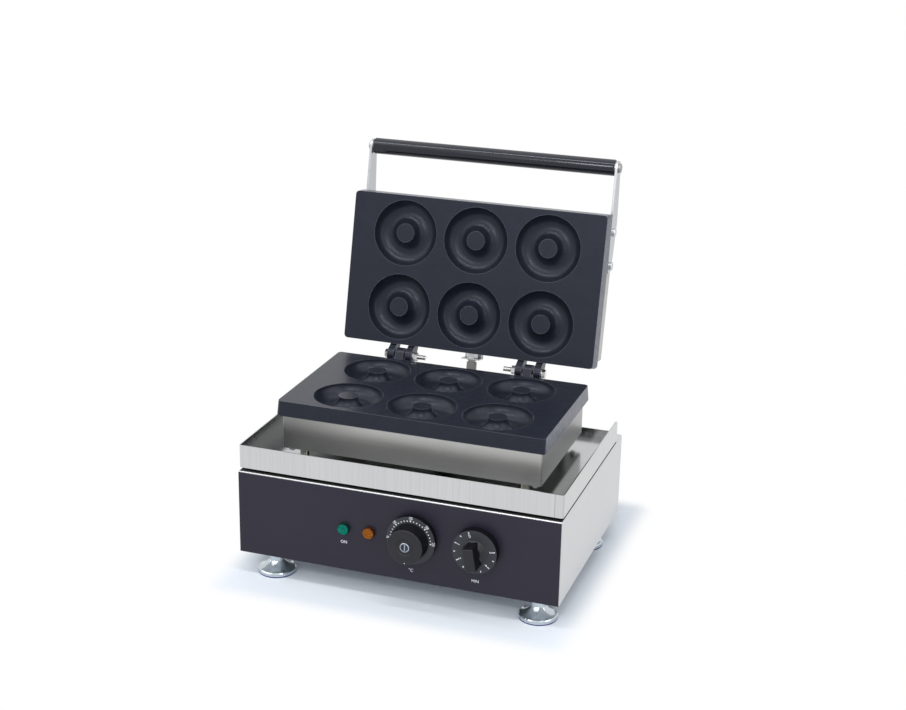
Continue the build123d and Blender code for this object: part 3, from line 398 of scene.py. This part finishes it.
# ---- The knobs ----------------------------------------------------------------------
# Moulded black phenolic knobs on the ends of the control spindles. The temperature
# knob is a tall cylinder on a skirt, and the timer knob has a bar to turn it by. The
# skirts' fronts are satin, and the rest is polished.
panel_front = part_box("control_panel")[0][1]
skirt_depth = 0.0125
phenolic = Finish("black_phenolic", IOR=1.5, Specular_IOR_Level=0.36)
moulding = phenolic.noise(phenolic.place(), 700.0, 3.0)
handled = phenolic.noise(phenolic.place(), 60.0, 2.0)
satin = phenolic.along("Y").above(panel_front - skirt_depth) * phenolic.faces("Y")
moulded_black = phenolic.blend(handled, (0.008, 0.008, 0.011), (0.015, 0.015, 0.020))
phenolic.set("Base Color", phenolic.blend(satin, moulded_black, (0.029, 0.030, 0.038)))
phenolic.set("Roughness", moulding * 0.14 + handled * 0.08 + satin * 0.12 + 0.27)
phenolic.relief(moulding, 0.12, 0.00005)
# The turned sides are covered by a near-black diffuse shader, as painted shade, so they look
# duller and darker.
painted_side_shade = phenolic.node("ShaderNodeBsdfDiffuse", {}, {"Color": (0.004, 0.004, 0.006, 1)})
phenolic.cover((1 - phenolic.faces("Y", 0.5)) * 0.7, painted_side_shade)
dress(phenolic.material, "temperature_knob", "timer_knob")

# The marks are printed in white on the knobs' skirts, so they turn with the knobs.
ink = Finish("white_ink", Roughness=0.55)
worn = ink.noise(ink.place(), 900.0, 2.0)
ink.set("Base Color", ink.blend(worn, (0.62, 0.63, 0.66), (0.86, 0.87, 0.89)))
ink.relief(worn, 0.1, 0.00002)
ink_lift = 0.00008


def finish_mesh(made, name, material, body):
    """Closes a bmesh as a piece that rides on a body."""
    bmesh.ops.recalc_face_normals(made, faces=made.faces)
    mesh = bpy.data.meshes.new(name)
    made.to_mesh(mesh)
    made.free()
    mesh.materials.append(material)
    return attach(add_to_scene(name, mesh), body)


def as_mesh(name, curve):
    """The mesh that a text or a curve makes."""
    holder = add_to_scene(name, curve)
    bpy.context.view_layer.update()
    shaped = holder.evaluated_get(bpy.context.evaluated_depsgraph_get())
    mesh = bpy.data.meshes.new_from_object(shaped)
    bpy.data.objects.remove(holder)
    return mesh


def knob_middle(node):
    low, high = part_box(node)
    return (low[0] + high[0]) / 2, (low[2] + high[2]) / 2


def on_panel(x, z, radius=0.0, clockwise=0.0):
    """Stands a flat mark up on the panel: round an axis at x and z, out along a radius,
    and turned clockwise from the top, in degrees."""
    return (
        Matrix.Translation((x, panel_front, z))
        @ Matrix.Rotation(math.radians(clockwise), 4, "Y")
        @ Matrix.Translation((0, 0, radius))
        @ Matrix.Rotation(math.pi / 2, 4, "X")
    )


def add_letters(made, text, height, where, weight=0.00004, squeeze=1.0):
    """Plain figures or letters, centred, with their tops away from the axis."""
    written = bpy.data.curves.new("letters", "FONT")
    written.body, written.size, written.offset = text, height, weight
    written.align_x, written.align_y = "CENTER", "CENTER"
    mesh = as_mesh("letters", written)
    mesh.transform(where @ Matrix.Diagonal((squeeze, 1, 1, 1)))
    made.from_mesh(mesh)
    bpy.data.meshes.remove(mesh)


def add_bar(made, x, z, inner, outer, clockwise, width=0.0012):
    """A straight mark that runs outward from a knob's axis."""
    where = on_panel(x, z, (inner + outer) / 2, clockwise)
    shape = Matrix.Diagonal((width, outer - inner, 1, 1))
    bmesh.ops.create_grid(made, x_segments=1, y_segments=4, size=0.5, matrix=where @ shape)


def add_dot(made, x, z, radius, clockwise, size):
    angle = math.radians(clockwise)
    where = on_panel(x + radius * math.sin(angle), z + radius * math.cos(angle))
    bmesh.ops.create_circle(made, cap_ends=True, segments=14, radius=size, matrix=where)


def lay_on(made, surface):
    """Moves marks onto a surface, given as a function from x and z to y."""
    for vertex in made.verts:
        vertex.co.y = surface(vertex.co.x, vertex.co.z) - ink_lift


# The temperature knob's skirt slopes from its rim in to its neck. Its figures are 45
# degrees apart, with a dot every 9 degrees and a larger one at each figure.
dial_x, dial_z = knob_middle("temperature_knob")
figure_ring, dot_ring, first_figure = 0.0286, 0.0255, -90
skirt_rim, rim_reach, skirt_neck, neck_reach = 0.0304, 0.0096, 0.0230, 0.0112
skirt_slope = (neck_reach - rim_reach) / (skirt_rim - skirt_neck)
marks = bmesh.new()
for step, figure in enumerate(("50", "100", "150", "200", "250")):
    where = on_panel(dial_x, dial_z, figure_ring, first_figure + 45 * step)
    add_letters(marks, figure, 0.0050, where, squeeze=0.62)
for step in range(21):
    size = 0.00074 if step % 5 else 0.00095
    add_dot(marks, dial_x, dial_z, dot_ring, first_figure + 9 * step, size)
lay_on(marks, lambda x, z: panel_front - rim_reach
       - (skirt_rim - math.hypot(x - dial_x, z - dial_z)) * skirt_slope)
finish_mesh(marks, "temperature_dial_figures", ink.material, "temperature_control")

# A short index mark at the edge of the temperature knob's flat front.
index = bmesh.new()
add_bar(index, dial_x, dial_z, 0.0199, 0.0208, 180)
knob_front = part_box("temperature_knob")[0][1]
lay_on(index, lambda x, z: knob_front)
finish_mesh(index, "temperature_index_mark", ink.material, "temperature_control")

# The timer knob's skirt is flat. Its figures are every other mark, and those are longer.
timer_x, timer_z = knob_middle("timer_knob")
timer_reach, timer_figure_ring = 0.0122, 0.0206
first_mark, mark_step = -17, -26.2
short_bar, long_bar = (0.0236, 0.0257), (0.0232, 0.0259)
timer_marks = bmesh.new()
for step in range(11):
    at = first_mark + mark_step * step
    add_bar(timer_marks, timer_x, timer_z, *(short_bar if step % 2 else long_bar), at)
    if step % 2 == 0:
        where = on_panel(timer_x, timer_z, timer_figure_ring, at)
        add_letters(timer_marks, str(step // 2), 0.0054, where)
lay_on(timer_marks, lambda x, z: panel_front - timer_reach)
finish_mesh(timer_marks, "timer_dial_figures", ink.material, "timer_control")

# Small plain notes on the panel say what each control is set in.
notes = bmesh.new()
for text, size, x, z in (
    ("ON", 0.0054, -0.0655, 0.0665),
    ("\u00b0C", 0.0054, 0.021, 0.0442),
    ("MIN", 0.0052, 0.102, 0.0444),
):
    add_letters(notes, text, size, on_panel(x, z), weight=0.00005)
lay_on(notes, lambda x, z: panel_front)
finish_mesh(notes, "panel_marks", ink.material, "base")


# ---- The bright fasteners -----------------------------------------------------------
# Turned and rolled steel: M6 hinge bolts with washers and nuts, cap screws, studs and
# spindles. They are zinc plated, which dulls a little where the tool has gripped.
plated = Finish("bright_plated_steel", Metallic=1.0)
tool_marks = plated.noise(plated.place(), 420.0, 3.0)
plating = plated.noise(plated.place(), 45.0, 2.0)
plated.set("Base Color", plated.blend(plating, (0.50, 0.51, 0.52), (0.68, 0.70, 0.71)))
plated.set("Roughness", tool_marks * 0.16 + plating * 0.06 + 0.24)
plated.relief(tool_marks, 0.08, 0.00004)
dress(
    plated.material, "base_screws", "standoff_bolts", "lower_plate_studs", "upper_plate_studs",
    "lower_box_nuts", "upper_box_nuts", "handle_rod", "arm_screws", "hinge_washers",
    "hinge_nuts", "conduit_lock_nut", "thermostat_spindle", "timer_spindle"
)

# The temperature knob's cap is a spun disc: a polished rim round a dull middle, with a
# slot across it that shows bright metal at its floor.
cap_rim, slot_reach, slot_half_width = 0.0047, 0.0041, 0.0009
cap_disc = Finish("spun_cap", Metallic=1.0)
cap_here = cap_disc.node("ShaderNodeTexCoord", {}, {}, "Object")
from_middle = cap_disc.vector("SUBTRACT", cap_here, (dial_x, 0, dial_z))
from_axis = cap_disc.vector("MULTIPLY", from_middle, (1, 0, 1))
cap_radius = cap_disc.vector("LENGTH", from_axis, output="Value")
sideways = cap_disc.node("ShaderNodeSeparateXYZ", {}, {0: from_axis}, "X").size()
slot_floor = (1 - sideways.above(slot_half_width)) * (1 - cap_radius.above(slot_reach))
bright_parts = (cap_radius.above(cap_rim) + slot_floor).at_most(1.0)
spun = cap_disc.noise(cap_disc.place((900, 900, 900)), 1.0, 2.0)
cap_disc.set("Base Color", cap_disc.blend(bright_parts, (0.045, 0.052, 0.068), (0.42, 0.47, 0.54)))
cap_disc.set("Roughness", spun * 0.15 + 0.18)
cap_disc.relief(spun, 0.1, 0.00004)
dress(cap_disc.material, "temperature_knob_cap")

# The hinge bolts show their thread past the nut, at one millimetre pitch.
thread_pitch = 0.001
threaded = Finish("threaded_plated_steel", Metallic=1.0)
thread = threaded.bands(threaded.place(), math.pi / 10 / thread_pitch, "TRI")
tarnish = threaded.noise(threaded.place(), 300.0, 2.0)
# The thread's roots are darker than its crests, as painted shade, mixed with real tarnish.
tarnish_and_thread_shade = threaded.blend(thread * 0.7 + tarnish * 0.3, (0.36, 0.36, 0.35), (0.80, 0.80, 0.78))
threaded.set("Base Color", tarnish_and_thread_shade)
threaded.set("Roughness", tarnish * 0.14 + 0.16)
threaded.relief(thread, 0.8, 0.0004)
dress(threaded.material, "hinge_bolts")


# ---- The feet -----------------------------------------------------------------------
# Cast bells, polished and chrome plated, each on a screw that lifts it for levelling.
# A thin blue moulded pad under the bell keeps the machine from sliding.
chrome = Finish("chrome", Metallic=1.0)
smudge = chrome.noise(chrome.place(), 70.0, 3.0)
chrome.set("Base Color", chrome.blend(smudge, (0.49, 0.54, 0.58), (0.62, 0.67, 0.70)))
chrome.set("Roughness", smudge * 0.12 + 0.09)
chrome.relief(smudge, 0.03, 0.0001)
corners = ("front_left", "front_right", "back_left", "back_right")
dress(chrome.material, *(f"{corner}_foot" for corner in corners))

pad = Finish("blue_moulded_pad", IOR=1.5)
pad_grain = pad.noise(pad.place(), 800.0, 2.0)
pad.set("Base Color", pad.blend(pad_grain, (0.006, 0.014, 0.10), (0.012, 0.030, 0.19)))
pad.set("Roughness", pad_grain * 0.2 + 0.4)
pad.relief(pad_grain, 0.1, 0.00005)
dress(pad.material, *(f"{corner}_foot_pad" for corner in corners))


# ---- The handle grip ----------------------------------------------------------------
# A tube of black phenolic over a steel rod, turned and polished, so that it shows
# long sharp highlights. It hangs between the two arms, held by a cap screw each end.
gloss = Finish(
    "polished_phenolic", IOR=1.55, Specular_IOR_Level=0.4, Specular_Tint=(0.86, 0.89, 1.0, 1)
)
wiped = gloss.noise(gloss.place((3, 60, 60)), 1.0, 3.0)
gloss.set("Base Color", gloss.blend(wiped, (0.006, 0.006, 0.009), (0.009, 0.009, 0.013)))
gloss.set("Roughness", wiped * 0.03 + 0.10)
gloss.relief(wiped, 0.01, 0.00001)
dress(gloss.material, "handle_grip")


# ---- The conduit --------------------------------------------------------------------
# A sheathed flexible conduit takes the wires to the lid's element. It comes up through
# a bush in the housing's top and ends in a ferrule on the bracket behind the lid.
conduit_route = [
    (0, 0.11696, 0.2129), (0, 0.11272, 0.1947), (0, 0.11272, 0.1170), (0, 0.10272, 0.0760),
]
conduit_radius = 0.0067
conduit_line = bpy.data.curves.new("conduit_line", "CURVE")
conduit_line.dimensions, conduit_line.resolution_u = "3D", 24
spline = conduit_line.splines.new("NURBS")
spline.points.add(len(conduit_route) - 1)
for point, position in zip(spline.points, conduit_route):
    point.co = (*position, 1)
spline.order_u, spline.use_endpoint_u = 3, True
conduit_path = [vertex.co for vertex in as_mesh("conduit_line", conduit_line).vertices]
conduit_line.bevel_depth, conduit_line.bevel_resolution = conduit_radius, 6
conduit_line.use_fill_caps = True

rib_scale = 13.2
sheath = Finish("grey_conduit_sheath", IOR=1.48)
ribs = sheath.bands(sheath.node("ShaderNodeTexCoord", {}, {}, "UV"), rib_scale, "SIN")
scuffs = sheath.noise(sheath.place(), 350.0, 3.0)
# The rib valleys are darker than the crests, as painted shade, mixed with real scuffs.
grey = sheath.blend(ribs * 0.5 + scuffs * 0.5, (0.26, 0.245, 0.23), (0.42, 0.40, 0.375))
sheath.set("Base Color", grey)
sheath.set("Roughness", scuffs * 0.2 + 0.32)
sheath.relief(ribs, 0.35, 0.0004)
conduit = add_to_scene("ribbed_conduit", as_mesh("ribbed_conduit", conduit_line))
conduit.data.materials.append(sheath.material)
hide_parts("flexible_conduit")
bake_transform(conduit)


# ---- What is inside and underneath --------------------------------------------------
# Black moulded bodies for the controls and terminals, the dull sheathed elements with
# their clamps, pads of white ceramic fibre, and the thermostat's copper probe. The
# grip's washers and end screws and the conduit's ferrule have a dull nickel plating.
def plain_finish(name, dark, bright, rough, grain, metallic=0.0, depth=0.00008):
    made = Finish(name, Metallic=metallic)
    texture = made.noise(made.place(), grain, 3.0)
    made.set("Base Color", made.blend(texture, dark, bright))
    made.set("Roughness", texture * 0.2 + (rough - 0.1))
    made.relief(texture, 0.25, depth)
    return made.material


moulded = plain_finish("black_moulding", (0.016, 0.016, 0.017), (0.030, 0.030, 0.032), 0.5, 900.0)
dress(
    moulded, "thermostat_body", "timer_body", "terminal_block", "cable_gland", "lamp_holders",
    "conduit_bush"
)
sheathing = plain_finish(
    "dull_element_sheath", (0.20, 0.19, 0.18), (0.36, 0.34, 0.33), 0.45, 500.0, metallic=1.0
)
dress(
    sheathing, "lower_heating_element", "upper_heating_element", "lower_element_clamp",
    "upper_element_clamp"
)
fibre = plain_finish(
    "ceramic_fibre", (0.66, 0.65, 0.61), (0.86, 0.85, 0.81), 0.9, 260.0, depth=0.0006
)
dress(fibre, "lower_insulation", "upper_insulation")
probe = plain_finish(
    "drawn_copper", (0.48, 0.24, 0.13), (0.72, 0.40, 0.26), 0.32, 380.0, metallic=1.0
)
dress(probe, "thermostat_probe")
nickel = plain_finish(
    "dull_nickel", (0.22, 0.22, 0.22), (0.40, 0.40, 0.39), 0.38, 420.0, metallic=1.0
)
dress(nickel, "grip_washers", "handle_end_screws", "conduit_ferrule")


# ---- The floor and the light --------------------------------------------------------
# A pale sweep under wide soft lamps in front, above and to both sides. Two small ones
# and a long strip give curved surfaces their sparkle, and a pale world lies all round.
def flat_square(name, width, centre):
    """A flat square facing up."""
    made = bmesh.new()
    bmesh.ops.create_grid(made, x_segments=1, y_segments=1, size=0.5)
    bmesh.ops.scale(made, vec=(width, width, 1), verts=made.verts)
    bmesh.ops.translate(made, vec=centre, verts=made.verts)
    mesh = bpy.data.meshes.new(name)
    made.to_mesh(mesh)
    made.free()
    return add_to_scene(name, mesh)


floor = flat_square("studio_floor", 16.0, (0, 2.0, cad_low[2]))
paper = Finish("pale_floor", Roughness=0.85)
wash = paper.noise(paper.place(), 1.5, 2.0)
# The sweep's pale blue-grey, darker than the plain white beyond, deepens and tints the machine's
# shadow round its footprint as painted shadow.
paper.set("Base Color", paper.blend(wash, (0.76, 0.805, 0.86), (0.78, 0.825, 0.88)))
# Past the machine's own shadow the sweep is plain white to the eye: the fade follows how
# far a point lies outside the footprint.
shadow_width = 0.035
outward = paper.vector("ABSOLUTE", paper.place())
past_edge = paper.vector("SUBTRACT", outward, (cad_high[0], cad_high[1], 1.0))
beyond = paper.vector("MAXIMUM", past_edge, (0, 0, 0))
distance = paper.vector("LENGTH", beyond, output="Value")
far_away = paper.fade(distance, 0.0, shadow_width, 0.0, 1.0)
white = paper.node("ShaderNodeEmission", {}, {"Color": (1, 1, 1, 1), "Strength": 1.0})
paper.cover(far_away * paper.looked_at(), white)
floor.data.materials.append(paper.material)

# Each lamp: its name, power in watts, width, height, place, and what it points at.
for name, power, width, height, place, aim in (
    ("key", 6.0, 0.20, 0.20, (0.51, -2.05, 1.70), (0, 0.1, 0.3)),
    ("second_key", 3.5, 0.20, 0.20, (-0.45, -2.1, 1.60), (0, 0.1, 0.2)),
    ("strip", 16.0, 2.6, 0.16, (0, -0.66, 2.30), (0, 0.15, 0.47)),
    ("soft_front", 18.0, 3.0, 2.2, (0.3, -2.8, 2.0), (0, 0, 0.2)),
    ("soft_right", 22.0, 2.4, 2.4, (2.5, -0.7, 1.5), (0.1, 0, 0.2)),
    ("soft_left", 26.0, 2.6, 2.6, (-2.2, -1.2, 2.0), (0, 0, 0.2)),
    ("soft_top", 14.0, 3.4, 2.6, (0.1, 0.3, 2.6), (0, 0, 0.2)),
):
    light = bpy.data.lights.new(name, "AREA")
    light.shape = "RECTANGLE"
    light.size, light.size_y, light.energy = width, height, power
    facing = (Vector(aim) - Vector(place)).to_track_quat("-Z", "Y").to_matrix().to_4x4()
    add_to_scene(name, light).matrix_world = Matrix.Translation(place) @ facing

world = bpy.context.scene.world or bpy.data.worlds.new("surroundings")
bpy.context.scene.world = world
world.use_nodes = True
air = Wiring(world.node_tree)
surround = air.node("ShaderNodeBackground", {}, {"Color": (0.92, 0.95, 1.0, 1), "Strength": 0.45})
backdrop = air.node("ShaderNodeBackground", {}, {"Color": (1, 1, 1, 1), "Strength": 1.0})
chosen = air.node("ShaderNodeMixShader", {}, {0: air.looked_at(), 1: surround, 2: backdrop})
air.feed(air.tree.nodes["World Output"].inputs["Surface"], chosen)
